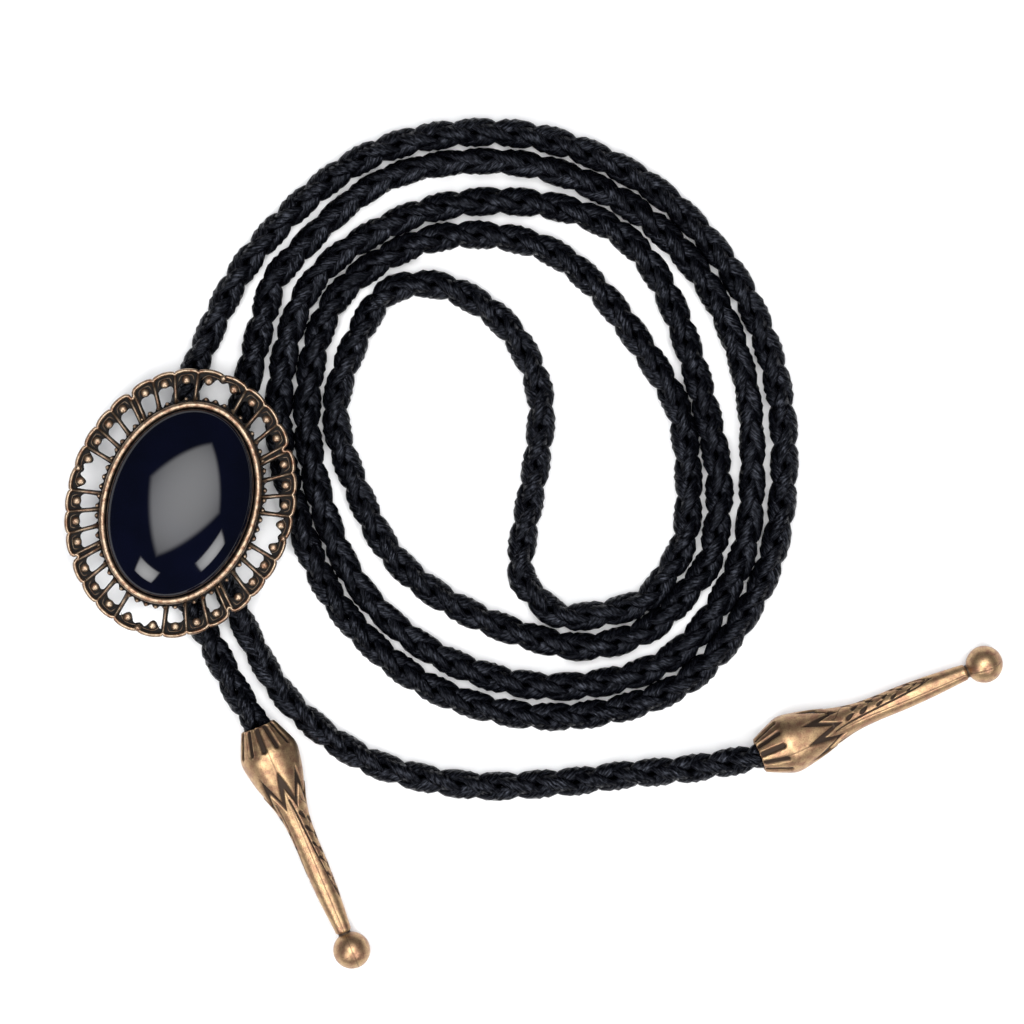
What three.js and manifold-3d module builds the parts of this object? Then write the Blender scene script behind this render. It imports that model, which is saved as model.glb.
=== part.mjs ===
// Bolo tie: one braided cord, an oval slide with a domed stone, and two cast tips.
// Millimetres, +Z up, lying on its back on a surface at z = 0. The origin is the middle of the
// flat underside of the clip behind the slide.
import * as THREE from "three";
import { mergeVertices } from "three/addons/utils/BufferGeometryUtils.js";
import Module from "manifold-3d";

// Fit between separate pieces
const gap = 0.3;
const past = 1; // how far a cutter reaches beyond what it cuts
const weld = 1e-4; // corners closer than this are one

// Cord
const cordDiameter = 4;
const cordSides = 10;

// Stone, an oval cabochon
const stoneLength = 30;
const stoneWidth = 22;
const stoneGirdle = 1.7;
const stoneDome = 4;
const domeRows = 7;
const stoneSides = 40;

// Slide frame
const slideTurn = THREE.MathUtils.degToRad(-19); // its long axis leans right on the surface
const bezelWall = 0.85;
const bezelHeight = 3.4;
const plateThickness = 1.1; // back plate, and the ledges under the beads
const rimHeight = 1.9;
const rimWidth = 0.65;
const wallWidth = 0.46; // walls between the cells
const bandAlongWidth = 5.1; // pierced border, bezel to valleys of the rim, on the short axis
const bandAlongLength = 4.75; // the same on the long axis
const scallopHeight = 0.45;
const notchDepth = 0.7;
const holeStart = 0.4; // from the bezel to the cells
// Cells: a small one keeps a deep ledge under its bead, a large one a narrow edge all round
const smallCell = {
  side: 0.16, ledge: 1.7, beads: [0.5], inner: [0, 1], outer: [1, 0.75, 0.25, 0],
};
const largeCell = {
  side: 0.16, ledge: 0.3, beads: [0.23, 0.77], inner: [0, 0.25, 0.5, 0.75, 1],
  outer: [1, 0.8, 0.5, 0.2, 0],
};
const cornerCut = 0.45; // off the outer corners of an opening
const lobeEdge = 0.08; // share of a lobe beside each valley where an opening follows no further
const lobePoints = [0, 0.12, 0.5, 0.88];
const notchInset = 0.25;
const beadRadius = 0.57;
const beadSides = 8;
const beadRows = 5;
const beadFromRim = 1.15;
const beadLift = 0.22;
const padRadius = 0.85; // ledge under each bead of a large cell
const rimBeadRadius = 0.55; // the bead on the rim over each large cell
const rimBeadInset = 0.4;
const rimBeadSink = 0.2;
const rimPadRadius = 0.7;
const rimPadInset = 0.65;
const padSides = 10;
const grainRadius = 0.32;
const grainCount = 60;
const grainFromBezel = 0.45; // to the middle of each grain
const grainLift = 0.18;
const ovalPoints = 56;
// Walls of one quadrant, degrees from the short axis: a large cell lies across each axis,
// three small cells follow, then a notch, then three more.
const wallAngles = [12.1, 23.2, 34.1, 44.9, 47.9, 58.2, 68.4, 78.8];
const notchIndex = 3;

// Clip behind the slide: one sleeve with two channels for the cord
const clipLength = 8;
const clipWall = 0.8;
const clipSpacing = 8.8; // between the two cord channels
const clipShift = 5; // from the middle of the slide, towards its upper end
const cordPastClip = 1.5; // the cord leaves the channels straight

// Tips
const tipProfile = [
  // distance from the mouth, radius
  [0, 2.75], [1.2, 3.6], [3.9, 4.5], [5.4, 4.62], [7, 4.45], [8.8, 4.05], [10.8, 3.45],
  [13.4, 2.65], [16.2, 2.1], [19.5, 1.92], [24, 1.9], [28.2, 1.75], [32, 1.48], [34.8, 1.2],
];
const tipBallAt = 38;
const tipBallRadius = 2.9;
const tipBelly = 3; // the row of the profile that rests on the surface
const tipSides = 20;
const socketDepth = 6.5;
const cordIn = 6; // length of cord in a socket
const fluteCount = 12;
const fluteLength = 3.3;
const fluteRadius = 0.34;
const fluteAt = 2.6;
const leafCount = 8;
const leafLength = 4.2;
const leafRadius = 0.95;
const leafFlatness = 0.5;
const leafLift = 0.12;
const leafAt = 10.4;
const tipLeft = { mouth: [10.2, -39.5], turn: THREE.MathUtils.degToRad(-67.3) };
const tipRight = { mouth: [88.4, -44.1], turn: THREE.MathUtils.degToRad(22) };

// Route of the cord on the surface, from the left tip to the right one. It passes the left
// channel of the clip, runs round the coil, and comes back through the right channel. A third
// number is the share of the way up from the surface to the mouths of the tips.
const leftTail = [[6.3, -33, 0.72], [2.8, -26.3, 0.2], [-0.8, -19.7], [-4.3, -12.6, 0.12]];
const coil = [
  [1.2, 18.5], [10.3, 35.2], [27.8, 49.7], [49.3, 53.1], [68.5, 46.7], [82.2, 34.2], [90.1, 18.6],
  [92.4, 1.4], [89.1, -16.8], [77, -32.6], [57.5, -38.1], [38.2, -34], [23.6, -21.9], [15.9, -5.5],
  [13.5, 12.1], [18.7, 29.7], [33.6, 40], [50.2, 42.4], [65.3, 38.3], [74.6, 26.9], [81.7, 2.9],
  [81.3, -11.7], [77.3, -18.4], [71.8, -24], [64.3, -26.8], [56.4, -26.6], [42.8, -21.7],
  [32, -13.8], [25.6, -2.3], [22.4, 10.9], [28.6, 26.3], [35.8, 29.5], [43.4, 27.3], [50.2, 21.5],
  [54.2, 12.4], [53.8, 2.5], [51.2, -14.1], [53.8, -19.4], [58.7, -22.5], [69.6, -20.4],
  [74.3, -15.3], [77.1, -8.9], [77.1, 3.5], [74.2, 13.4], [62.2, 29.9], [50.8, 36.4], [35.8, 36.1],
  [22.4, 27.2], [17.9, 11.5], [20, -4.2], [26.8, -18.8], [39.9, -29.3], [57.1, -33.4],
  [74.8, -28.8], [85.3, -14.4], [87.4, 2.1], [85.6, 17.2], [79.1, 31.2], [66.9, 42.5],
  [49.7, 48.5], [30.1, 45.8], [14.5, 32.4], [11.2, 25],
];
const rightTail = [
  [4.1, -14.9], [11.6, -30.7], [18.3, -38.8], [28.7, -45.5], [43.3, -48.8], [58.2, -48.3],
  [68, -47.1, 0.12], [78, -46.1, 0.6],
];

const wasm = await Module();
wasm.setup();

// A closed three.js geometry as a solid that can be joined and cut
function solid(geometry) {
  const bare = new THREE.BufferGeometry();
  const flat = geometry.index ? geometry.toNonIndexed() : geometry;
  bare.setAttribute("position", flat.getAttribute("position"));
  const merged = mergeVertices(bare, weld);
  return new wasm.Manifold(
    new wasm.Mesh({
      numProp: 3,
      vertProperties: merged.getAttribute("position").array,
      triVerts: new Uint32Array(merged.index.array),
    }),
  );
}

// A solid back as a three.js geometry
function geometryOf(body) {
  const data = body.getMesh();
  const geometry = new THREE.BufferGeometry();
  geometry.setAttribute("position", new THREE.BufferAttribute(data.vertProperties, 3));
  geometry.setIndex(new THREE.BufferAttribute(data.triVerts, 1));
  const faceted = geometry.toNonIndexed();
  faceted.computeVertexNormals();
  return faceted;
}

function extruded(shape, bottom, top) {
  const options = { depth: top - bottom, bevelEnabled: false, curveSegments: 12 };
  return solid(new THREE.ExtrudeGeometry(shape, options).translate(0, 0, bottom));
}

const shapeOf = (points) => new THREE.Shape(points.map(([x, y]) => new THREE.Vector2(x, y)));

const joined = (list) => wasm.Manifold.union(list);

const grain = (radius, x, y, z) =>
  solid(new THREE.IcosahedronGeometry(radius, 0).translate(x, y, z));

const bead = (radius, x, y, z) =>
  solid(new THREE.SphereGeometry(radius, beadSides, beadRows).rotateX(Math.PI / 2).translate(x, y, z));

// Ellipse with half sizes a along X and b along Y: its outline, and its radius at an angle
function ellipse(a, b, count) {
  return Array.from({ length: count }, (_, i) => {
    const t = (2 * Math.PI * i) / count;
    return [a * Math.cos(t), b * Math.sin(t)];
  });
}
const ellipseRadius = (angle, a, b) =>
  (a * b) / Math.hypot(b * Math.cos(angle), a * Math.sin(angle));
const polar = (angle, radius) => [radius * Math.cos(angle), radius * Math.sin(angle)];

// Stone
const stoneBottom = plateThickness + gap;
const domeProfile = [new THREE.Vector2(0, 0), new THREE.Vector2(1, 0)];
for (let i = 0; i < domeRows; i++) {
  const t = (i / domeRows) * (Math.PI / 2);
  domeProfile.push(new THREE.Vector2(Math.cos(t), stoneGirdle + stoneDome * Math.sin(t)));
}
domeProfile.push(new THREE.Vector2(0, stoneGirdle + stoneDome));
const stoneGeometry = new THREE.LatheGeometry(domeProfile, stoneSides)
  .rotateX(Math.PI / 2)
  .scale(stoneWidth / 2, stoneLength / 2, 1)
  .translate(0, 0, stoneBottom);

// Slide frame: border lobes all the way round, from the quadrant's wall angles
const bezelA = stoneWidth / 2 + gap + bezelWall;
const bezelB = stoneLength / 2 + gap + bezelWall;
const bezelRadius = (angle) => ellipseRadius(angle, bezelA, bezelB);
const valleyRadius = (angle) =>
  ellipseRadius(angle, bezelA + bandAlongWidth, bezelB + bandAlongLength);

const quadrant = [0, ...wallAngles, 90].map((d) => THREE.MathUtils.degToRad(d));
const lobes = []; // { from, to, notch }
const cells = []; // { from, to, kind }
for (let q = 0; q < 4; q++) {
  const mirrored = q % 2 === 1;
  const start = (q * Math.PI) / 2;
  const angles = mirrored
    ? quadrant.map((a) => start + Math.PI / 2 - a).reverse()
    : quadrant.map((a) => start + a);
  const notchAt = mirrored ? quadrant.length - 3 - notchIndex : notchIndex + 1;
  for (let i = 0; i < angles.length - 1; i++) {
    const lobe = { from: angles[i], to: angles[i + 1], notch: i === notchAt };
    lobes.push(lobe);
    const beside = i === 0 || i === angles.length - 2;
    if (!lobe.notch && !beside) cells.push({ ...lobe, kind: smallCell });
  }
}
// The large cells lie across the axes; each has a bead near both of its outer corners
const largeHalf = [quadrant[1], Math.PI / 2 - quadrant[quadrant.length - 2]];
for (let q = 0; q < 4; q++) {
  const middle = (q * Math.PI) / 2;
  const half = largeHalf[q % 2];
  cells.push({ from: middle - half, to: middle + half, kind: largeCell });
}

// Outer radius of the rim: valleys between lobes, a rounded scallop over each
function rimRadius(angle) {
  const turn = 2 * Math.PI;
  const a = ((angle % turn) + turn) % turn;
  const lobe = lobes.find((l) => a >= l.from - 1e-9 && a <= l.to + 1e-9);
  if (lobe.notch) return valleyRadius(a) - notchDepth;
  const t = (a - lobe.from) / (lobe.to - lobe.from);
  return valleyRadius(a) + scallopHeight * Math.sqrt(Math.max(0, 1 - (2 * t - 1) ** 2));
}

const outline = [];
for (const lobe of lobes) {
  if (lobe.notch) {
    const inset = notchInset * (lobe.to - lobe.from);
    outline.push(polar(lobe.from, valleyRadius(lobe.from)));
    outline.push(polar(lobe.from + inset, rimRadius(lobe.from + inset)));
    outline.push(polar(lobe.to - inset, rimRadius(lobe.to - inset)));
    continue;
  }
  for (const t of lobePoints) {
    const angle = lobe.from + t * (lobe.to - lobe.from);
    outline.push(polar(angle, t === 0 ? valleyRadius(angle) : rimRadius(angle)));
  }
}

// Outline of an opening in a cell, kept off the walls by side and off the rim by ledge
function opening(cell, side, ledge) {
  const points = [];
  const at = (t, radius) => {
    const span = cell.to - cell.from;
    const edge = (wallWidth / 2 + side) / radius;
    return polar(cell.from + edge + t * (span - 2 * edge), radius);
  };
  const innerAt = (t) => bezelRadius(cell.from + t * (cell.to - cell.from)) + holeStart;
  const outerAt = (t) => {
    const clear = cell.from + (lobeEdge + (1 - 2 * lobeEdge) * t) * (cell.to - cell.from);
    return rimRadius(clear) - rimWidth - ledge;
  };
  for (const t of cell.kind.inner) points.push(at(t, innerAt(t)));
  for (const t of cell.kind.outer) {
    const corner = t === 0 || t === 1 ? cornerCut : 0;
    points.push(at(t, outerAt(t) - corner));
  }
  return shapeOf(points);
}

const pockets = cells.map((c) => extruded(opening(c, 0, 0), plateThickness, rimHeight + past));
const holes = cells.map((c) =>
  extruded(opening(c, c.kind.side, c.kind.ledge), -past, rimHeight),
);

const beads = [];
const pads = [];
function addPad(radius, x, y) {
  const pad = new THREE.CylinderGeometry(radius, radius, plateThickness, padSides);
  pads.push(solid(pad.rotateX(Math.PI / 2).translate(x, y, plateThickness / 2)));
}
for (const cell of cells) {
  const large = cell.kind === largeCell;
  for (const share of cell.kind.beads) {
    const angle = cell.from + share * (cell.to - cell.from);
    const [x, y] = polar(angle, rimRadius(angle) - rimWidth - beadFromRim);
    beads.push(bead(beadRadius, x, y, plateThickness + beadLift));
    if (large) addPad(padRadius, x, y);
  }
  if (large) {
    const angle = (cell.from + cell.to) / 2;
    const [x, y] = polar(angle, valleyRadius(angle) - rimBeadInset);
    beads.push(bead(rimBeadRadius, x, y, rimHeight - rimBeadSink));
    addPad(rimPadRadius, ...polar(angle, valleyRadius(angle) - rimPadInset));
  }
}

// Grains along the foot of the bezel, at equal steps of arc
const foot = new THREE.CatmullRomCurve3(
  ellipse(bezelA + grainFromBezel, bezelB + grainFromBezel, ovalPoints).map(
    ([x, y]) => new THREE.Vector3(x, y, plateThickness + grainLift),
  ),
  true,
);
const grains = foot
  .getSpacedPoints(grainCount)
  .slice(0, grainCount)
  .map((p) => grain(grainRadius, p.x, p.y, p.z));

const seatA = stoneWidth / 2 + gap;
const seatB = stoneLength / 2 + gap;
const seat = extruded(shapeOf(ellipse(seatA, seatB, ovalPoints)), plateThickness, bezelHeight + past);
const bezel = extruded(shapeOf(ellipse(bezelA, bezelB, ovalPoints)), 0, bezelHeight);
const plate = extruded(shapeOf(outline), 0, rimHeight)
  .subtract(joined(pockets))
  .subtract(joined(holes).subtract(joined(pads)));
const frame = joined([plate, bezel, ...pads, ...beads, ...grains]).subtract(seat);

// Clip: a flat-bottomed sleeve, channels along its length
const channelRadius = cordDiameter / 2 + gap;
const clipHeight = 2 * (channelRadius + clipWall);
const clipOutline = new THREE.Shape();
clipOutline.absarc(clipSpacing / 2, 0, clipHeight / 2, -Math.PI / 2, Math.PI / 2);
clipOutline.absarc(-clipSpacing / 2, 0, clipHeight / 2, Math.PI / 2, (3 * Math.PI) / 2);
for (const side of [-1, 1]) {
  const channel = new THREE.Path();
  channel.absarc((side * clipSpacing) / 2, 0, channelRadius, 0, 2 * Math.PI, true);
  clipOutline.holes.push(channel);
}
const clipGeometry = new THREE.ExtrudeGeometry(clipOutline, {
  depth: clipLength,
  bevelEnabled: false,
  curveSegments: 10,
})
  .translate(0, 0, -clipLength / 2)
  .rotateX(Math.PI / 2)
  .translate(0, 0, clipHeight / 2);

// Tip: along +Y from its mouth, with a blind socket, flutes and a ring of pointed leaves
function tipBody() {
  const neckRadius = tipProfile.at(-1)[1];
  const profile = [new THREE.Vector2(0, 0), ...tipProfile.map(([s, r]) => new THREE.Vector2(r, s))];
  profile.push(new THREE.Vector2(neckRadius, tipBallAt), new THREE.Vector2(0, tipBallAt));
  let body = solid(new THREE.LatheGeometry(profile, tipSides));
  const knob = new THREE.SphereGeometry(tipBallRadius, tipSides, 12).translate(0, tipBallAt, 0);
  body = body.add(solid(knob));
  const socketRadius = cordDiameter / 2 + gap;
  const socketLength = socketDepth + past;
  const socket = new THREE.CylinderGeometry(socketRadius, socketRadius, socketLength, tipSides);
  const cutters = [solid(socket.translate(0, (socketDepth - past) / 2, 0))];
  const onProfile = (s) => {
    const i = tipProfile.findIndex(([d]) => d >= s);
    const [s0, r0] = tipProfile[i - 1];
    const [s1, r1] = tipProfile[i];
    return { radius: r0 + ((r1 - r0) * (s - s0)) / (s1 - s0), lean: Math.atan2(r1 - r0, s1 - s0) };
  };
  const flute = onProfile(fluteAt);
  for (let i = 0; i < fluteCount; i++) {
    const groove = new THREE.CapsuleGeometry(fluteRadius, fluteLength - 2 * fluteRadius, 2, 6)
      .rotateZ(-flute.lean)
      .translate(flute.radius, fluteAt, 0)
      .rotateY((2 * Math.PI * i) / fluteCount);
    cutters.push(solid(groove));
  }
  const leaf = onProfile(leafAt);
  for (let i = 0; i < leafCount; i++) {
    const groove = new THREE.ConeGeometry(leafRadius, leafLength, 4, 1)
      .rotateX(Math.PI)
      .scale(leafFlatness, 1, 1)
      .rotateZ(-leaf.lean)
      .translate(leaf.radius + leafLift, leafAt, 0)
      .rotateY((2 * Math.PI * (i + 0.5)) / leafCount);
    cutters.push(solid(groove));
  }
  return body.subtract(joined(cutters));
}

// Turn and place of a tip whose belly and ball both touch the surface
function tipPlacement({ mouth, turn }) {
  const [bellyAt, bellyRadius] = tipProfile[tipBelly];
  const tilt = Math.asin((bellyRadius - tipBallRadius) / (tipBallAt - bellyAt));
  const along = new THREE.Matrix4()
    .makeRotationZ(turn)
    .multiply(new THREE.Matrix4().makeRotationY(tilt))
    .multiply(new THREE.Matrix4().makeRotationZ(-Math.PI / 2));
  const lifted = bellyRadius / Math.cos(tilt) + bellyAt * Math.sin(tilt);
  return new THREE.Matrix4().makeTranslation(mouth[0], mouth[1], lifted).multiply(along);
}

// A tip laid with its lowest corner on the surface, and the point on its axis at a depth
const tipGeometry = geometryOf(tipBody());
function laidTip(spot) {
  const place = tipPlacement(spot);
  const geometry = tipGeometry.clone().applyMatrix4(place);
  geometry.computeBoundingBox();
  const down = new THREE.Vector3(0, 0, -geometry.boundingBox.min.z);
  return {
    geometry: geometry.translate(0, 0, down.z),
    inside: (depth) => new THREE.Vector3(0, depth, 0).applyMatrix4(place).add(down),
  };
}
const left = laidTip(tipLeft);
const right = laidTip(tipRight);

// Cord: a plain tube through the route points
const cordRadius = cordDiameter / 2;
const mouthRise = left.inside(0).z - cordRadius;
const lying = ([x, y, share = 0]) => new THREE.Vector3(x, y, cordRadius + share * mouthRise);
const channelHeight = clipHeight / 2;
const channelReach = clipLength / 2 + cordPastClip;
const up = new THREE.Vector3(0, 0, 1);
const channelEnd = (side, end) =>
  new THREE.Vector3((side * clipSpacing) / 2, end * channelReach, channelHeight).applyAxisAngle(
    up,
    slideTurn,
  );
const route = [
  left.inside(cordIn),
  left.inside(0),
  ...leftTail.map(lying),
  channelEnd(-1, -1),
  channelEnd(-1, 1),
  ...coil.map(lying),
  channelEnd(1, 1),
  channelEnd(1, -1),
  ...rightTail.map(lying),
  right.inside(0),
  right.inside(cordIn),
];

// One ring of the tube for each route point, however far apart they are
class PointByPoint extends THREE.CatmullRomCurve3 {
  getUtoTmapping(u) {
    return u;
  }
}
const section = shapeOf(ellipse(cordRadius, cordRadius, cordSides));
const cordGeometry = new THREE.ExtrudeGeometry(section, {
  extrudePath: new PointByPoint(route, false, "catmullrom", 0.5),
  steps: route.length - 1,
});

const materials = {
  brass: { color: 0x9a7b55, roughness: 0.4, metalness: 1 },
  stone: { color: 0x05060c, roughness: 0.06, metalness: 0 },
  leather: { color: 0x15161c, roughness: 0.5, metalness: 0 },
};
const root = new THREE.Group();
function place(name, geometry, material) {
  const mesh = new THREE.Mesh(geometry, new THREE.MeshStandardMaterial(materials[material]));
  mesh.name = name;
  root.add(mesh);
  return mesh;
}

const slideBack = clipHeight + gap;
const onSlide = (geometry) =>
  geometry.translate(0, -clipShift, slideBack).rotateZ(slideTurn);
place("stone", onSlide(stoneGeometry), "stone");
place("slide_frame", onSlide(geometryOf(frame)), "brass");
place("back_clip", clipGeometry.rotateZ(slideTurn), "brass");
place("tip_left", left.geometry, "brass");
place("tip_right", right.geometry, "brass");
place("cord", cordGeometry, "leather");

export default root;
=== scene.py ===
import math

import bmesh
import bpy
import numpy as np
from mathutils import Matrix, Vector


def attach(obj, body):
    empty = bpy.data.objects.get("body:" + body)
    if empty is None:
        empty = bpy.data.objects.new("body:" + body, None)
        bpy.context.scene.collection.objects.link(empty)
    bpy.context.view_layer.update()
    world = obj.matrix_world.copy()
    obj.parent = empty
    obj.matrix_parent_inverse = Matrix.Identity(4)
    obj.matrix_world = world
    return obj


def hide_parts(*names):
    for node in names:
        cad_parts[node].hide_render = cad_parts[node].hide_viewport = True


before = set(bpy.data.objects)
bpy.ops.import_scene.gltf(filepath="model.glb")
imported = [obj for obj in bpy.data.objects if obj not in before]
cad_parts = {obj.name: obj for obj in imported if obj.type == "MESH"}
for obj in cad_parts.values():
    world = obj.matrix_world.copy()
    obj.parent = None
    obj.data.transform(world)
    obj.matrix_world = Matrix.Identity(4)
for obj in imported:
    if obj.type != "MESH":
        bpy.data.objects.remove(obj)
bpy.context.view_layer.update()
mm = 0.001

# Lying on its back: the slide is on the left, the coil right of it and a tip at each end.
# The slide's own frame is turned on the surface and sits on the clip.
slide = {
    "turn": math.radians(-19),
    "middleAlong": -5 * mm,  # from the clip to the middle of the slide
    "back": 6.5 * mm,
}
slidePlace = (
    Matrix.Rotation(slide["turn"], 4, "Z")
    @ Matrix.Translation((0, slide["middleAlong"], slide["back"]))
)


# sRGB hex to a linear colour with alpha
def linear(hexColour):
    values = [int(hexColour[i:i + 2], 16) / 255 for i in (1, 3, 5)]
    return tuple(v / 12.92 if v <= 0.04045 else ((v + 0.055) / 1.055) ** 2.4 for v in values) + (1.0,)


# Sets inputs of a node, by name or number. Each takes a value, a socket or another node.
def feed(tree, node, inputs):
    for key, value in inputs.items():
        socket = node.inputs[key] if isinstance(key, int) else next(
            s for s in node.inputs if s.name == key and s.enabled)
        if isinstance(value, bpy.types.Node):
            value = next(s for s in value.outputs if s.enabled)
        if isinstance(value, bpy.types.NodeSocket):
            tree.links.new(value, socket)
        else:
            socket.default_value = value


def addNode(tree, kind, inputs=None, **settings):
    made = tree.nodes.new(kind)
    for name, value in settings.items():
        setattr(made, name, value)
    feed(tree, made, inputs or {})
    return made


def newMaterial(name):
    material = bpy.data.materials.new(name)
    material.use_nodes = True
    return material, material.node_tree, material.node_tree.nodes["Principled BSDF"]


def linked(name, data):
    made = bpy.data.objects.new(name, data)
    bpy.context.scene.collection.objects.link(made)
    return made


# Camera, straight above, far enough away that the slide and the surface keep one scale
view = {
    "middle": (49.86 * mm, -6.11 * mm), "width": 160 * mm, "level": 2 * mm, "lens": 240, "sensor": 36,
}
cameraData = bpy.data.cameras.new("camera")
cameraData.lens = view["lens"]
cameraData.sensor_width = view["sensor"]
cameraData.clip_start, cameraData.clip_end = 0.01, 20
camera = linked("camera", cameraData)
camera.location = (*view["middle"], view["level"] + view["width"] * view["lens"] / view["sensor"])
bpy.context.scene.camera = camera
bpy.context.scene.view_settings.view_transform = "Standard"
print("camera set")

# Route of the cord on the surface, millimetres, from the left tip to the right one. A third
# number is the share of the way up from the surface to the mouths of the tips.
tips = {
    "left": {"mouth": (10.2, -39.5), "turn": math.radians(-67.3), "roll": math.radians(-70)},
    "right": {"mouth": (88.4, -44.1), "turn": math.radians(22), "roll": math.radians(-48)},
    "mouthHeight": 4.91,
    # the belly, 4.62 mm at 5.4, and the ball, 2.9 mm at 38, both touch the surface
    "tilt": math.asin((4.62 - 2.9) / (38 - 5.4)),
    "cordIn": 6,
}
leftTail = [(6.3, -33, 0.72), (2.8, -26.3, 0.2), (-0.8, -19.7, 0), (-4.3, -12.6, 0.12)]
coil = [
    (1.2, 18.5), (10.3, 35.2), (27.8, 49.7), (49.3, 53.1), (68.5, 46.7), (82.2, 34.2), (90.1, 18.6),
    (92.4, 1.4), (89.1, -16.8), (77, -32.6), (57.5, -38.1), (38.2, -34), (23.6, -21.9), (15.9, -5.5),
    (13.5, 12.1), (18.7, 29.7), (33.6, 40), (50.2, 42.4), (65.3, 38.3), (74.6, 26.9), (81.7, 2.9),
    (81.3, -11.7), (77.3, -18.4), (71.8, -24), (64.3, -26.8), (56.4, -26.6), (42.8, -21.7), (32, -13.8),
    (25.6, -2.3), (22.4, 10.9), (28.6, 26.3), (35.8, 29.5), (43.4, 27.3), (50.2, 21.5), (54.2, 12.4),
    (53.8, 2.5), (51.2, -14.1), (53.8, -19.4), (58.7, -22.5), (69.6, -20.4), (74.3, -15.3),
    (77.1, -8.9), (77.1, 3.5), (74.2, 13.4), (62.2, 29.9), (50.8, 36.4), (35.8, 36.1), (22.4, 27.2),
    (17.9, 11.5), (20, -4.2), (26.8, -18.8), (39.9, -29.3), (57.1, -33.4), (74.8, -28.8), (85.3, -14.4),
    (87.4, 2.1), (85.6, 17.2), (79.1, 31.2), (66.9, 42.5), (49.7, 48.5), (30.1, 45.8), (14.5, 32.4),
    (11.2, 25),
]
rightTail = [
    (4.1, -14.9, 0), (11.6, -30.7, 0), (18.3, -38.8, 0), (28.7, -45.5, 0), (43.3, -48.8, 0),
    (58.2, -48.3, 0), (68, -47.1, 0.12), (78, -46.1, 0.6),
]
braid = {
    "diameter": 4,
    "lie": 2.34,  # the strands bulge a little past the nominal radius
    "pitch": 12.2,
    "middleRadius": 1.15,
    "weaveDepth": 0.44,
    "thickness": 1.5,
    "halfAngle": math.radians(72),
    "ringSpacing": 0.68,
    "sides": 12,
    "twist": math.radians(110),
    "endLength": 9,  # drawn thinner into the tips over this length
    "endSize": 0.86,
    "seed": 3.7,
}
# Both channels of the clip, in its own turned frame
channels = {"across": 4.4, "along": 5.5, "height": 3.1}


def cordRoute():
    rise = tips["mouthHeight"] - braid["lie"]

    def inside(tip, depth):
        x, y = tip["mouth"]
        run, drop = depth * math.cos(tips["tilt"]), depth * math.sin(tips["tilt"])
        x, y = x + run * math.cos(tip["turn"]), y + run * math.sin(tip["turn"])
        return (x, y, tips["mouthHeight"] - drop)

    def channelEnd(side, end):
        x, y = side * channels["across"], end * channels["along"]
        c, s = math.cos(slide["turn"]), math.sin(slide["turn"])
        return (x * c - y * s, x * s + y * c, channels["height"])

    points = [
        inside(tips["left"], tips["cordIn"]), inside(tips["left"], 0),
        *[(x, y, braid["lie"] + share * rise) for x, y, share in leftTail],
        channelEnd(-1, -1), channelEnd(-1, 1), *[(x, y, braid["lie"]) for x, y in coil],
        channelEnd(1, 1), channelEnd(1, -1),
        *[(x, y, braid["lie"] + share * rise) for x, y, share in rightTail],
        inside(tips["right"], 0), inside(tips["right"], tips["cordIn"]),
    ]
    return [Vector(p) * mm for p in points]


route = cordRoute()


# Waxed black leather strips: near black with a blue cast. Fine broken streaks of shine run along each
# strand, and in the gaps between strands ambient occlusion turns the shine down as painted shade, so they
# stay quite black
def leatherMaterial():
    material, tree, shader = newMaterial("waxedBlackLeather")
    uv = addNode(tree, "ShaderNodeUVMap", uv_map="UVMap")
    # streaks a millimetre long and a quarter of one wide
    grain = addNode(tree, "ShaderNodeMapping", {"Vector": uv, "Scale": (1.1, 7.5, 1.0)})
    fibres = addNode(tree, "ShaderNodeTexNoise",
                     {"Vector": grain, "Scale": 1.0, "Detail": 6.0, "Roughness": 0.7})
    creaseMap = addNode(tree, "ShaderNodeMapping", {"Vector": uv, "Scale": (0.9, 1.5, 1.0)})
    creases = addNode(tree, "ShaderNodeTexNoise",
                      {"Vector": creaseMap, "Scale": 1.0, "Detail": 3.0, "Distortion": 0.8})
    # painted shade: ambient occlusion, used to dim the shine in the gaps between strands
    deep = addNode(tree, "ShaderNodeAmbientOcclusion", {"Distance": 0.8 * mm}, samples=8).outputs["AO"]
    deep = addNode(tree, "ShaderNodeMapRange", {"Value": deep, "From Min": 0.35, "From Max": 0.9})
    colour = addNode(tree, "ShaderNodeValToRGB", {"Fac": fibres})
    colour.color_ramp.elements[0].position = 0.4
    colour.color_ramp.elements[0].color = linear("#020203")
    colour.color_ramp.elements[1].position = 0.7
    colour.color_ramp.elements[1].color = linear("#05060b")
    shine = addNode(tree, "ShaderNodeMapRange",
                    {"Value": fibres, "From Min": 0.47, "From Max": 0.68, "To Min": 0.03, "To Max": 0.95})
    # the streaks of shine times the painted shade of the gaps
    shine = addNode(tree, "ShaderNodeMath", {0: shine, 1: deep}, operation="MULTIPLY")
    rough = addNode(tree, "ShaderNodeMapRange",
                    {"Value": creases, "From Min": 0.3, "From Max": 0.7, "To Min": 0.26, "To Max": 0.42})
    height = addNode(tree, "ShaderNodeMath", {0: fibres, 1: 0.7, 2: creases}, operation="MULTIPLY_ADD")
    bump = addNode(tree, "ShaderNodeBump", {"Height": height, "Strength": 0.8, "Distance": 0.24 * mm})
    feed(tree, shader, {"Base Color": colour, "Specular IOR Level": shine, "Roughness": rough,
                        "Normal": bump, "Specular Tint": linear("#dde4fa")})
    return material


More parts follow.
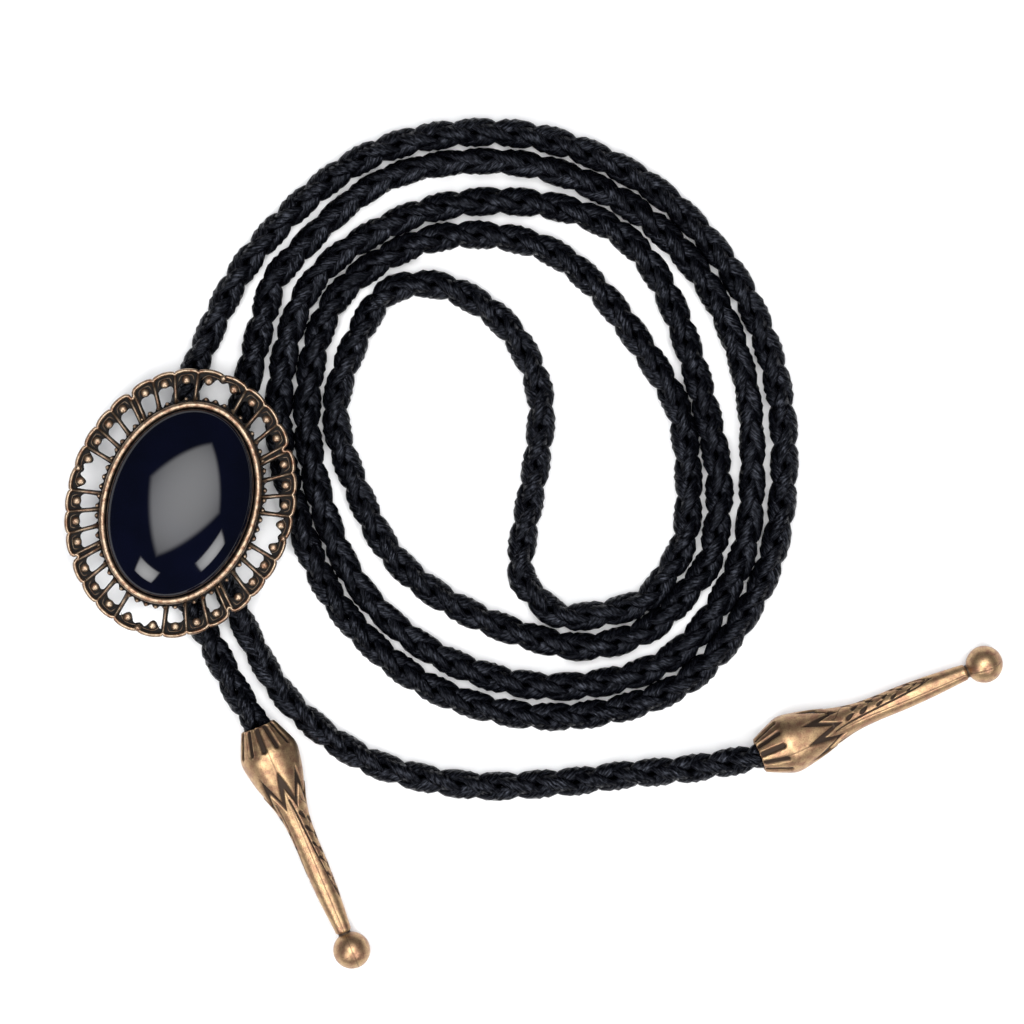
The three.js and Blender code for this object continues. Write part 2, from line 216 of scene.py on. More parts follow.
# Four strands of a round braid along the route
def braidTree(material):
    tree = bpy.data.node_groups.new("roundBraid", "GeometryNodeTree")
    face = tree.interface
    face.new_socket("Geometry", in_out="INPUT", socket_type="NodeSocketGeometry")
    sizes = {
        "Pitch": braid["pitch"] * mm, "Middle Radius": braid["middleRadius"] * mm,
        "Weave Depth": braid["weaveDepth"] * mm, "Thickness": braid["thickness"] * mm,
        "Half Angle": braid["halfAngle"], "Ring Spacing": braid["ringSpacing"] * mm,
        "Twist": braid["twist"], "End Length": braid["endLength"] * mm, "End Size": braid["endSize"],
        "Seed": braid["seed"],
    }
    for name in sizes:
        face.new_socket(name, in_out="INPUT", socket_type="NodeSocketFloat")
    face.new_socket("Sides", in_out="INPUT", socket_type="NodeSocketInt")
    face.new_socket("Geometry", in_out="OUTPUT", socket_type="NodeSocketGeometry")
    sizes["Sides"] = braid["sides"]
    given = addNode(tree, "NodeGroupInput").outputs

    # the route as a smooth curve
    curve = addNode(tree, "GeometryNodeMeshToCurve", {"Mesh": given["Geometry"]})
    curve = addNode(tree, "GeometryNodeCurveSplineType", {"Curve": curve}, spline_type="CATMULL_ROM")
    curve = addNode(tree, "GeometryNodeSetSplineResolution", {"Geometry": curve, "Resolution": 24})
    total = addNode(tree, "GeometryNodeCurveLength", {"Curve": curve})

    # four flat grids, one for each strand: x runs along the cord and y round the strand
    rings = addNode(tree, "ShaderNodeMath", {0: total, 1: given["Ring Spacing"]}, operation="DIVIDE")
    around = addNode(tree, "ShaderNodeMath", {0: given["Sides"], 1: 1.0}, operation="ADD")
    grid = addNode(tree, "GeometryNodeMeshGrid",
                   {"Size X": 1.0, "Size Y": 1.0, "Vertices X": rings, "Vertices Y": around})
    four = addNode(tree, "GeometryNodeMeshLine", {"Count": 4, "Offset": (0, 0, 0)})
    strands = addNode(tree, "GeometryNodeInstanceOnPoints", {"Points": four, "Instance": grid})
    index = addNode(tree, "GeometryNodeInputIndex")
    strands = addNode(tree, "GeometryNodeStoreNamedAttribute",
                      {"Geometry": strands, "Name": "strand", "Value": index},
                      data_type="FLOAT", domain="INSTANCE")
    strands = addNode(tree, "GeometryNodeRealizeInstances", {"Geometry": strands})

    place = addNode(tree, "ShaderNodeSeparateXYZ", {"Vector": addNode(tree, "GeometryNodeInputPosition")})
    share = addNode(tree, "ShaderNodeMath", {0: place.outputs["X"], 1: 0.5}, operation="ADD")
    along = addNode(tree, "ShaderNodeMath", {0: share, 1: total}, operation="MULTIPLY")
    turn = addNode(tree, "ShaderNodeMath", {0: place.outputs["Y"], 1: 0.5}, operation="ADD")
    turn = addNode(tree, "ShaderNodeMath", {0: turn, 1: 2 * math.pi}, operation="MULTIPLY")
    strand = addNode(tree, "GeometryNodeInputNamedAttribute", {"Name": "strand"}, data_type="FLOAT")

    # strands 0 and 1 turn one way and 2 and 3 the other, each pair half a turn apart
    pair = addNode(tree, "ShaderNodeMath", {0: strand, 1: 0.5}, operation="MULTIPLY")
    pair = addNode(tree, "ShaderNodeMath", {0: pair}, operation="FLOOR")
    way = addNode(tree, "ShaderNodeMath", {0: pair, 1: -2.0, 2: 1.0}, operation="MULTIPLY_ADD")
    half = addNode(tree, "ShaderNodeMath", {0: strand, 1: 2.0}, operation="MODULO")
    start = addNode(tree, "ShaderNodeMath", {0: half, 1: math.pi}, operation="MULTIPLY")
    laps = addNode(tree, "ShaderNodeMath", {0: along, 1: given["Pitch"]}, operation="DIVIDE")
    lead = addNode(tree, "ShaderNodeMath", {0: laps, 1: 2 * math.pi}, operation="MULTIPLY")
    lead = addNode(tree, "ShaderNodeMath", {0: lead, 1: way, 2: start}, operation="MULTIPLY_ADD")

    # the section is a flat oval with blunt edges that closes to a point at both ends of the cord
    fromEnd = addNode(tree, "ShaderNodeMath", {0: total, 1: along}, operation="SUBTRACT")
    fromEnd = addNode(tree, "ShaderNodeMath", {0: fromEnd, 1: along}, operation="MINIMUM")
    closing = addNode(tree, "ShaderNodeMapRange", {"Value": fromEnd, "From Max": 0.6 * mm, "To Max": 1.0},
                      interpolation_type="SMOOTHSTEP")
    halves = []
    for function, power in (("COSINE", 0.75), ("SINE", 0.85)):
        wave = addNode(tree, "ShaderNodeMath", {0: turn}, operation=function)
        size = addNode(tree, "ShaderNodeMath", {0: wave}, operation="ABSOLUTE")
        size = addNode(tree, "ShaderNodeMath", {0: size, 1: power}, operation="POWER")
        sign = addNode(tree, "ShaderNodeMath", {0: wave}, operation="SIGN")
        size = addNode(tree, "ShaderNodeMath", {0: size, 1: sign}, operation="MULTIPLY")
        size = addNode(tree, "ShaderNodeMath", {0: size, 1: closing.outputs["Result"]}, operation="MULTIPLY")
        halves.append(size)
    across, through = halves

    # uneven hand-pulled strands
    own = addNode(tree, "ShaderNodeMath", {0: strand, 1: 7.31, 2: given["Seed"]}, operation="MULTIPLY_ADD")
    uneven = addNode(tree, "ShaderNodeMath", {0: along, 1: 260.0, 2: own}, operation="MULTIPLY_ADD")
    uneven = addNode(tree, "ShaderNodeTexNoise",
                     {"W": uneven, "Scale": 1.0, "Detail": 2.0}, noise_dimensions="1D").outputs[0]
    uneven = addNode(tree, "ShaderNodeMapRange", {"Value": uneven, "From Min": 0.25, "From Max": 0.75,
                                                  "To Min": 0.84, "To Max": 1.14}).outputs["Result"]
    width = addNode(tree, "ShaderNodeMath", {0: given["Half Angle"], 1: uneven}, operation="MULTIPLY")
    angle = addNode(tree, "ShaderNodeMath", {0: across, 1: width, 2: lead}, operation="MULTIPLY_ADD")

    # both families of strands follow sheets that weave through each other
    weave = addNode(tree, "ShaderNodeMath", {0: angle, 1: 2.0}, operation="MULTIPLY")
    weave = addNode(tree, "ShaderNodeMath", {0: weave}, operation="COSINE")
    weave = addNode(tree, "ShaderNodeMath", {0: weave, 1: way}, operation="MULTIPLY")
    radius = addNode(tree, "ShaderNodeMath", {0: weave, 1: given["Weave Depth"], 2: given["Middle Radius"]},
                     operation="MULTIPLY_ADD")
    thick = addNode(tree, "ShaderNodeMath", {0: given["Thickness"], 1: 0.5}, operation="MULTIPLY")
    radius = addNode(tree, "ShaderNodeMath", {0: through, 1: thick, 2: radius}, operation="MULTIPLY_ADD")
    drawn = addNode(tree, "ShaderNodeMapRange", {"Value": fromEnd, "From Max": given["End Length"],
                                                 "To Min": given["End Size"], "To Max": 1.0})
    radius = addNode(tree, "ShaderNodeMath", {0: radius, 1: drawn}, operation="MULTIPLY")

    # the whole braid rolls slowly as it lies
    roll = addNode(tree, "ShaderNodeMath", {0: along, 1: 11.0, 2: given["Seed"]}, operation="MULTIPLY_ADD")
    roll = addNode(tree, "ShaderNodeTexNoise",
                   {"W": roll, "Scale": 1.0, "Detail": 1.0}, noise_dimensions="1D").outputs[0]
    roll = addNode(tree, "ShaderNodeMath", {0: roll, 1: 0.5}, operation="SUBTRACT")
    roll = addNode(tree, "ShaderNodeMath", {0: roll, 1: given["Twist"], 2: angle}, operation="MULTIPLY_ADD")

    here = addNode(tree, "GeometryNodeSampleCurve", {"Curves": curve, "Length": along}, mode="LENGTH")
    ahead = here.outputs["Tangent"]
    side = addNode(tree, "ShaderNodeVectorMath", {0: ahead, 1: (0, 0, 1)}, operation="CROSS_PRODUCT")
    side = addNode(tree, "ShaderNodeVectorMath", {0: side}, operation="NORMALIZE")
    up = addNode(tree, "ShaderNodeVectorMath", {0: side, 1: ahead}, operation="CROSS_PRODUCT")
    point = here.outputs["Position"]
    for direction, function in ((side, "COSINE"), (up, "SINE")):
        reach = addNode(tree, "ShaderNodeMath", {0: roll}, operation=function)
        reach = addNode(tree, "ShaderNodeMath", {0: reach, 1: radius}, operation="MULTIPLY")
        reach = addNode(tree, "ShaderNodeVectorMath", {0: direction, "Scale": reach}, operation="SCALE")
        point = addNode(tree, "ShaderNodeVectorMath", {0: point, 1: reach}, operation="ADD")

    # UV in millimetres: along the strand and round it, apart for each strand
    uvAlong = addNode(tree, "ShaderNodeMath", {0: along, 1: 1 / mm}, operation="MULTIPLY")
    uvRound = addNode(tree, "ShaderNodeMath", {0: strand, 1: 5.0, 2: turn}, operation="MULTIPLY_ADD")
    uv = addNode(tree, "ShaderNodeCombineXYZ", {"X": uvAlong, "Y": uvRound})
    strands = addNode(tree, "GeometryNodeStoreNamedAttribute",
                      {"Geometry": strands, "Name": "UVMap", "Value": uv},
                      data_type="FLOAT2", domain="CORNER")
    strands = addNode(tree, "GeometryNodeSetPosition", {"Geometry": strands, "Position": point})
    strands = addNode(tree, "GeometryNodeMergeByDistance", {"Geometry": strands, "Distance": 1e-3 * mm})
    strands = addNode(tree, "GeometryNodeSetShadeSmooth", {"Geometry": strands})
    strands = addNode(tree, "GeometryNodeSetMaterial", {"Geometry": strands, "Material": material})
    addNode(tree, "NodeGroupOutput", {"Geometry": strands})
    return tree, sizes


# The tree's result on the source object, as a plain mesh in place of its own
def grown(source, tree, sizes):
    modifier = source.modifiers.new(tree.name, "NODES")
    modifier.node_group = tree
    for item in tree.interface.items_tree:
        if item.in_out == "INPUT" and item.name in sizes:
            modifier[item.identifier] = sizes[item.name]
    bpy.context.view_layer.update()
    evaluated = source.evaluated_get(bpy.context.evaluated_depsgraph_get())
    mesh = bpy.data.meshes.new_from_object(evaluated)
    source.modifiers.remove(modifier)
    source.data = mesh
    return source


def outwards(mesh):
    work = bmesh.new()
    work.from_mesh(mesh)
    bmesh.ops.remove_doubles(work, verts=work.verts, dist=1e-4 * mm)
    bmesh.ops.recalc_face_normals(work, faces=work.faces)
    work.to_mesh(mesh)
    work.free()


def makeCord():
    mesh = bpy.data.meshes.new("cordRoute")
    mesh.from_pydata([tuple(p) for p in route], [(i, i + 1) for i in range(len(route) - 1)], [])
    cord = linked("braidedCord", mesh)
    tree, sizes = braidTree(leatherMaterial())
    grown(cord, tree, sizes)
    outwards(cord.data)
    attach(cord, "root")
    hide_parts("cord")


makeCord()


# Finishes of the plated metal: worn brass, the copper that shows through it, and the black patina.
# The attribute worn on a mesh says how far the plating is rubbed bright, 0 to 1.
slideFinish = {"bright": "#a38f79", "copper": "#785b49", "patina": "#0f0c0b", "mottle": 0.8}
tipFinish = {"bright": "#b89a75", "copper": "#99755d", "patina": "#3a2e26", "mottle": 1.2}
clipFinish = {"bright": "#7d6850", "copper": "#66503f", "patina": "#100c0a", "mottle": 1.5}


# Antiqued brass casting: raised parts are rubbed warm and softly bright with a fine cast grain, and
# black patina stays matt in the recesses
def castBrassMaterial(name, finish, even=False):
    material, tree, shader = newMaterial(name)
    where = addNode(tree, "ShaderNodeTexCoord").outputs["Object"]
    # rubbed patches of about a millimetre, and specks of a fifth of one
    patches = addNode(tree, "ShaderNodeTexNoise",
                      {"Vector": where, "Scale": 1 / (finish["mottle"] * mm), "Detail": 4.0})
    specks = addNode(tree, "ShaderNodeTexNoise", {"Vector": where, "Scale": 1 / (0.2 * mm), "Detail": 2.0})
    worn = addNode(tree, "ShaderNodeMapRange",
                   {"Value": specks, "From Min": 0.3, "From Max": 0.5, "To Min": 0.6})
    if not even:
        rubbed = addNode(tree, "ShaderNodeAttribute", attribute_name="worn").outputs["Fac"]
        worn = addNode(tree, "ShaderNodeMath", {0: rubbed, 1: worn}, operation="MULTIPLY")
    deep = addNode(tree, "ShaderNodeAmbientOcclusion", {"Distance": 0.4 * mm}, samples=8).outputs["AO"]
    deep = addNode(tree, "ShaderNodeMapRange", {"Value": deep, "From Min": 0.25, "From Max": 0.65})
    worn = addNode(tree, "ShaderNodeMath", {0: worn, 1: deep}, operation="MULTIPLY")
    tone = addNode(tree, "ShaderNodeMapRange", {"Value": patches, "From Min": 0.36, "From Max": 0.6})
    plating = addNode(tree, "ShaderNodeMix",
                      {"Factor": tone, "A": linear(finish["copper"]), "B": linear(finish["bright"])},
                      data_type="RGBA")
    colour = addNode(tree, "ShaderNodeMix", {"Factor": worn, "A": linear(finish["patina"]), "B": plating},
                     data_type="RGBA")
    rough = addNode(tree, "ShaderNodeMapRange", {"Value": worn, "To Min": 0.6, "To Max": 0.42})
    metal = addNode(tree, "ShaderNodeMapRange", {"Value": worn, "To Min": 0.8, "To Max": 1.0})
    height = addNode(tree, "ShaderNodeMath", {0: patches, 1: 1.5, 2: specks}, operation="MULTIPLY_ADD")
    bump = addNode(tree, "ShaderNodeBump", {"Height": height, "Strength": 0.4, "Distance": 0.06 * mm})
    feed(tree, shader, {"Base Color": colour, "Roughness": rough, "Metallic": metal, "Normal": bump})
    return material


# Stone: an oval cabochon, closed below
stone = {
    "length": 30, "width": 22,
    "bottom": 1.4,  # above the back of the slide
    "ease": 0.15,  # small round at the lower edge
    "girdle": 1.7,
    "dome": 4,
    "around": 144,
    "rings": 36,
}


# Polished black glass: a clear mirror gloss over near black, with a faint blue in its depth
def stoneMaterial():
    material, tree, shader = newMaterial("polishedBlackStone")
    where = addNode(tree, "ShaderNodeTexCoord").outputs["Object"]
    # polishing haze, about 7 mm patches, so faint that only the reflections show it
    haze = addNode(tree, "ShaderNodeTexNoise", {"Vector": where, "Scale": 1 / (7 * mm), "Detail": 2.0})
    colour = addNode(tree, "ShaderNodeValToRGB", {"Fac": haze})
    colour.color_ramp.elements[0].color = linear("#010205")
    colour.color_ramp.elements[1].color = linear("#050719")
    rough = addNode(tree, "ShaderNodeMapRange", {"Value": haze, "To Min": 0.02, "To Max": 0.06})
    feed(tree, shader, {"Base Color": colour, "Roughness": rough, "IOR": 1.54, "Specular IOR Level": 0.24})
    return material


# A mesh from loops of points; closed joins the last loop to the first, else both are capped
def ringMesh(name, rows, closed=False):
    around = len(rows[0])
    points = [p for row in rows for p in row]
    faces = []
    for r in range(len(rows) - (0 if closed else 1)):
        low, high = r * around, (r + 1) % len(rows) * around
        for i in range(around):
            j = (i + 1) % around
            faces.append((low + i, low + j, high + j, high + i))
    if not closed:
        for row, centre in ((0, rows[0]), (len(rows) - 1, rows[-1])):
            middle = tuple(sum(p[k] for p in centre) / around for k in range(3))
            points.append(middle)
            hub = len(points) - 1
            faces += [(hub, row * around + (i + 1) % around, row * around + i) for i in range(around)]
    mesh = bpy.data.meshes.new(name)
    mesh.from_pydata(points, [], faces)
    outwards(mesh)
    return mesh


def smoothed(mesh):
    mesh.polygons.foreach_set("use_smooth", [True] * len(mesh.polygons))
    return mesh


def piece(name, mesh, material, place=None):
    mesh.name = name
    if place is not None:
        mesh.transform(place)
    mesh.materials.clear()
    mesh.materials.append(material)
    made = linked(name, mesh)
    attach(made, "root")
    return made


def makeStone():
    a, b = stone["width"] / 2, stone["length"] / 2
    profile = [(1 - stone["ease"] / a, 0), (1, stone["ease"]), (1, stone["girdle"])]
    for i in range(1, stone["rings"]):
        t = i / stone["rings"] * math.pi / 2
        profile.append((math.cos(t), stone["girdle"] + stone["dome"] * math.sin(t)))
    turns = [2 * math.pi * i / stone["around"] for i in range(stone["around"])]
    rows = []
    for share, height in profile:
        across, along, z = share * a * mm, share * b * mm, (stone["bottom"] + height) * mm
        rows.append([(across * math.cos(t), along * math.sin(t), z) for t in turns])
    mesh = smoothed(ringMesh("stoneDome", rows))
    made = piece("domedStone", mesh, stoneMaterial(), slidePlace)
    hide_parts("stone")
    print("stone", len(mesh.polygons), "faces")


# Slide, millimetres: a cast frame round the stone
border = {
    "seatGap": 0.3, "bezelWall": 0.85, "bezelHeight": 3.4, "bezelSteps": 160,
    "plate": 1.1, "rimHeight": 1.9, "rimWidth": 0.65, "wallWidth": 0.46, "wireSunk": 0.3,
    "alongWidth": 5.1, "alongLength": 4.75,
    "scallop": 0.45, "notchDepth": 0.7, "ledgeShare": 0.994,
    "holeStart": 0.3, "holeFromWall": 0.14, "grainLedge": 0.5,
    "grainRadius": 0.32, "grainCount": 60, "grainFromBezel": 0.48, "grainReach": 0.6,
    "grainLift": 0.18,
    "beadRadius": 0.66, "beadFromRim": 1.15, "beadLift": 0.36, "beadFlat": 0.64,
    "rimBeadRadius": 0.55, "rimBeadInset": 0.4, "rimBeadSink": 0.2,
    "stepWire": 0.08, "stepLift": 0.04, "stepFromRim": 0.34, "stepFromWall": 0.26, "stepCorner": 0.9,
    "wallAngles": (12.1, 23.2, 34.1, 44.9, 47.9, 58.2, 68.4, 78.8),  # one quadrant, from the short axis
    "notchIndex": 3,
}
# Cells: a small one keeps a deep ledge under its bead, a large one a narrow edge and three pads
smallCell = {"ledge": 1.62, "corner": 0.32, "beads": (0.5,), "pad": 0.66, "steps": 12, "eased": 1}
largeCell = {"ledge": 0.3, "corner": 0.3, "beads": (0.23, 0.77), "pad": 0.84, "steps": 32, "eased": 4}
rimPad = {"inset": 0.65, "radius": 0.72}
bezelA = stone["width"] / 2 + border["seatGap"] + border["bezelWall"]
bezelB = stone["length"] / 2 + border["seatGap"] + border["bezelWall"]


def ovalRadius(angle, a, b):
    return a * b / math.hypot(b * math.cos(angle), a * math.sin(angle))


def polar(angle, radius):
    return (radius * math.cos(angle), radius * math.sin(angle))


def valleyRadius(angle):
    return ovalRadius(angle, bezelA + border["alongWidth"], bezelB + border["alongLength"])


# Lobes of the rim as (from, to, notch) and cells of the border, from one quadrant's wall angles
def slideCells():
    quadrant = [math.radians(a) for a in (0, *border["wallAngles"], 90)]
    lobes, cells = [], []
    for q in range(4):
        start = q * math.pi / 2
        angles = [start + a for a in quadrant]
        notchAt = border["notchIndex"] + 1
        if q % 2 == 1:
            angles = [start + math.pi / 2 - a for a in reversed(quadrant)]
            notchAt = len(quadrant) - 3 - border["notchIndex"]
        for i, (a, b) in enumerate(zip(angles, angles[1:])):
            lobes.append((a, b, i == notchAt))
            if i != notchAt and i not in (0, len(angles) - 2):
                cells.append({"from": a, "to": b, "kind": smallCell})
    for q in range(4):
        half = quadrant[1] if q % 2 == 0 else math.pi / 2 - quadrant[-2]
        middle = q * math.pi / 2
        cells.append({"from": middle - half, "to": middle + half, "kind": largeCell})
    return lobes, cells


lobes, cells = slideCells()


def rimRadius(angle):
    a = angle % (2 * math.pi)
    low, high, notch = next(l for l in lobes if l[0] - 1e-9 <= a <= l[1] + 1e-9)
    t = (a - low) / (high - low)
    if notch:
        return valleyRadius(a) - border["notchDepth"] * math.sin(math.pi * t) ** 0.5
    return valleyRadius(a) + border["scallop"] * math.sqrt(max(0, 1 - (2 * t - 1) ** 2))


# Grains at equal steps along the foot of the bezel
def grainSpots():
    out, count = border["grainFromBezel"], border["grainCount"]
    turns = np.linspace(0, 2 * math.pi, 3601)
    x, y = (bezelA + out) * np.cos(turns), (bezelB + out) * np.sin(turns)
    run = np.concatenate([[0], np.cumsum(np.hypot(np.diff(x), np.diff(y)))])
    stops = run[-1] * np.arange(count) / count
    return list(zip(np.interp(stops, run, x), np.interp(stops, run, y)))


grains = grainSpots()


def beadSpots(cell):
    for share in cell["kind"]["beads"]:
        angle = cell["from"] + share * (cell["to"] - cell["from"])
        yield polar(angle, rimRadius(angle) - border["rimWidth"] - border["beadFromRim"])


# On the rim in the middle of a large cell, this far inwards
def rimMiddle(cell, inset):
    middle = (cell["from"] + cell["to"]) / 2
    return polar(middle, valleyRadius(middle) - inset)


# The angle at a share of the way across a cell, clear of its walls at this radius
def betweenWalls(cell, share, radius, clear):
    edge = (border["wallWidth"] / 2 + clear) / radius
    return cell["from"] + edge + share * (cell["to"] - cell["from"] - 2 * edge)


# Distance from the middle of the slide to where a ray first meets a round pad, or far if it misses
def rayToPad(angle, spot, radius):
    reach, off = math.hypot(*spot), angle - math.atan2(spot[1], spot[0])
    miss = reach * math.sin(off)
    return reach * math.cos(off) - math.sqrt(radius**2 - miss**2) if abs(miss) < radius else 99


# Outline of the hole through the ledge of a cell
def opening(cell):
    kind, span = cell["kind"], cell["to"] - cell["from"]
    inner, reaches = [], []
    for i in range(kind["steps"] + 1):
        t = i / kind["steps"]
        foot = ovalRadius(cell["from"] + t * span, bezelA, bezelB)
        angle = betweenWalls(cell, t, foot, border["holeFromWall"])
        foot = ovalRadius(angle, bezelA, bezelB)
        x, y = polar(angle, foot + border["grainFromBezel"])
        near = min(math.hypot(x - gx, y - gy) for gx, gy in grains) / border["grainReach"]
        ledge = border["grainLedge"] * max(0, 1 - near**2)
        inner.append(polar(angle, foot + border["holeStart"] + ledge))
        rim = rimRadius(cell["from"] + (0.08 + 0.84 * t) * span) - border["rimWidth"]
        angle = betweenWalls(cell, t, rim, border["holeFromWall"])
        radius = rim - kind["ledge"] - kind["corner"] * max(0, 1 - min(t, 1 - t) / 0.16) ** 2
        for spot in beadSpots(cell):
            radius = min(radius, rayToPad(angle, spot, kind["pad"]))
        if kind is largeCell:
            radius = min(radius, rayToPad(angle, rimMiddle(cell, rimPad["inset"]), rimPad["radius"]))
        reaches.append((angle, radius))
    for _ in range(kind["eased"]):
        middles = [(a[1] + 2 * b[1] + c[1]) / 4 for a, b, c in zip(reaches, reaches[1:], reaches[2:])]
        reaches[1:-1] = [(angle, radius) for (angle, _), radius in zip(reaches[1:-1], middles)]
    outer = [polar(angle, radius) for angle, radius in reaches]
    return rounded(inner + outer[::-1])


# Corners of a closed outline cut twice, so that they turn round
def rounded(points):
    for _ in range(2):
        cut = []
        for p, q in zip(points, points[1:] + points[:1]):
            cut.append((0.75 * p[0] + 0.25 * q[0], 0.75 * p[1] + 0.25 * q[1]))
            cut.append((0.25 * p[0] + 0.75 * q[0], 0.25 * p[1] + 0.75 * q[1]))
        points = cut
    return points


# A flat cast sheet with openings and rounded edges, as a mesh in metres
def flatWork(name, outline, holes, bottom, top, edge):
    curve = bpy.data.curves.new(name, "CURVE")
    curve.dimensions = "2D"
    curve.fill_mode = "BOTH"
    # drawn in millimetres and scaled down at the end
    curve.extrude = (top - bottom) / 2 - edge
    curve.bevel_depth = edge
    curve.bevel_resolution = 3
    curve.offset = -edge
    for points in (outline, *holes):
        spline = curve.splines.new("POLY")
        spline.points.add(len(points) - 1)
        spline.points.foreach_set("co", [c for x, y in points for c in (x, y, 0, 1)])
        spline.use_cyclic_u = True
    shape = linked(name, curve)
    bpy.context.view_layer.update()
    mesh = bpy.data.meshes.new_from_object(shape.evaluated_get(bpy.context.evaluated_depsgraph_get()))
    bpy.data.objects.remove(shape)
    bpy.data.curves.remove(curve)
    mesh.transform(Matrix.Scale(mm, 4) @ Matrix.Translation((0, 0, (bottom + top) / 2)))
    outwards(mesh)
    return mesh


# A round cast bead on each point, as large as the point's own size says
def beadTree(material):
    tree = bpy.data.node_groups.new("castBeads", "GeometryNodeTree")
    tree.interface.new_socket("Geometry", in_out="INPUT", socket_type="NodeSocketGeometry")
    tree.interface.new_socket("Steps", in_out="INPUT", socket_type="NodeSocketInt")
    tree.interface.new_socket("Geometry", in_out="OUTPUT", socket_type="NodeSocketGeometry")
    given = addNode(tree, "NodeGroupInput").outputs
    bead = addNode(tree, "GeometryNodeMeshIcoSphere", {"Radius": 1.0, "Subdivisions": given["Steps"]})
    size = addNode(tree, "GeometryNodeInputNamedAttribute", {"Name": "size"}, data_type="FLOAT")
    beads = addNode(tree, "GeometryNodeInstanceOnPoints",
                    {"Points": given["Geometry"], "Instance": bead, "Scale": size})
    beads = addNode(tree, "GeometryNodeRealizeInstances", {"Geometry": beads})
    beads = addNode(tree, "GeometryNodeSetMaterial", {"Geometry": beads, "Material": material})
    addNode(tree, "NodeGroupOutput", {"Geometry": beads})
    return tree


def castBeads(spots, height, radius, material, flat=1.0):
    mesh = bpy.data.meshes.new("beads")
    mesh.from_pydata([(x * mm, y * mm, height * mm) for x, y in spots], [], [])
    mesh.attributes.new("size", "FLOAT", "POINT").data.foreach_set("value", [radius * mm] * len(spots))
    source = linked("beads", mesh)
    grown(source, beadTree(material), {"Steps": 3})
    mesh = source.data
    bpy.data.objects.remove(source)
    kept = Matrix.Translation((0, 0, height * mm * (1 - flat)))
    mesh.transform(kept @ Matrix.Diagonal((1, 1, flat, 1)))
    return mesh


# Cast wire of an oval section along lines, millimetres, from its half width and half height
def wireWork(name, lines, across, upward, closed=False):
    rows = 12
    points, faces = [], []
    for line in lines:
        path = [Vector(p) for p in line]
        count, first = len(path), len(points)
        for i, p in enumerate(path):
            before = path[i - 1] if closed else path[max(i - 1, 0)]
            after = path[(i + 1) % count] if closed else path[min(i + 1, count - 1)]
            ahead = (after - before).normalized()
            side = ahead.cross(Vector((0, 0, 1))).normalized()
            up = side.cross(ahead)
            ease = 1 if closed or 0 < i < count - 1 else 0.05
            for k in range(rows):
                t = 2 * math.pi * k / rows
                points.append((p + (side * math.cos(t) * across + up * math.sin(t) * upward) * ease) * mm)
        for i in range(count if closed else count - 1):
            low, high = first + i * rows, first + (i + 1) % count * rows
            for k in range(rows):
                j = (k + 1) % rows
                faces.append((low + k, low + j, high + j, high + k))
        if not closed:
            faces += [tuple(range(first, first + rows)), tuple(range(len(points) - rows, len(points)))]
    mesh = bpy.data.meshes.new(name)
    mesh.from_pydata([tuple(p) for p in points], [], faces)
    outwards(mesh)
    return mesh


# One mesh from several. Each comes with the heights between which its plating goes from dark to worn.
def fused(name, parts):
    points, faces, worn = [], [], []
    for mesh, dark, bright in parts:
        first = len(points)
        for vertex in mesh.vertices:
            points.append(tuple(vertex.co))
            worn.append(min(1, max(0, (vertex.co.z / mm - dark) / (bright - dark))))
        faces += [tuple(first + i for i in face.vertices) for face in mesh.polygons]
    made = bpy.data.meshes.new(name)
    made.from_pydata(points, [], faces)
    made.attributes.new("worn", "FLOAT", "POINT").data.foreach_set("value", worn)
    return smoothed(made)


# Bezel: a rounded wall whose lip closes over the stone's edge
def bezelMesh():
    wall, top, lip = border["bezelWall"], border["bezelHeight"], border["seatGap"] - 0.03
    profile = [
        (0, 0), (0, top - 0.6), (-0.05, top - 0.33), (-0.16, top - 0.13), (-0.32, top - 0.03),
        (-0.5, top), (-0.68, top - 0.02), (-0.85, top - 0.1), (-wall - 0.12, top - 0.24),
        (-wall - lip * 0.85, top - 0.45),
        (-wall - lip, top - 0.62), (-wall - lip, top - 0.95), (-wall, top - 1.1), (-wall, 0),
    ]
    rows = []
    for out, height in profile:
        row = []
        for i in range(border["bezelSteps"]):
            t = 2 * math.pi * i / border["bezelSteps"]
            normal = Vector((bezelB * math.cos(t), bezelA * math.sin(t))).normalized()
            x, y = bezelA * math.cos(t) + out * normal.x, bezelB * math.sin(t) + out * normal.y
            row.append((x * mm, y * mm, height * mm))
        rows.append(row)
    return ringMesh("bezel", rows, closed=True)


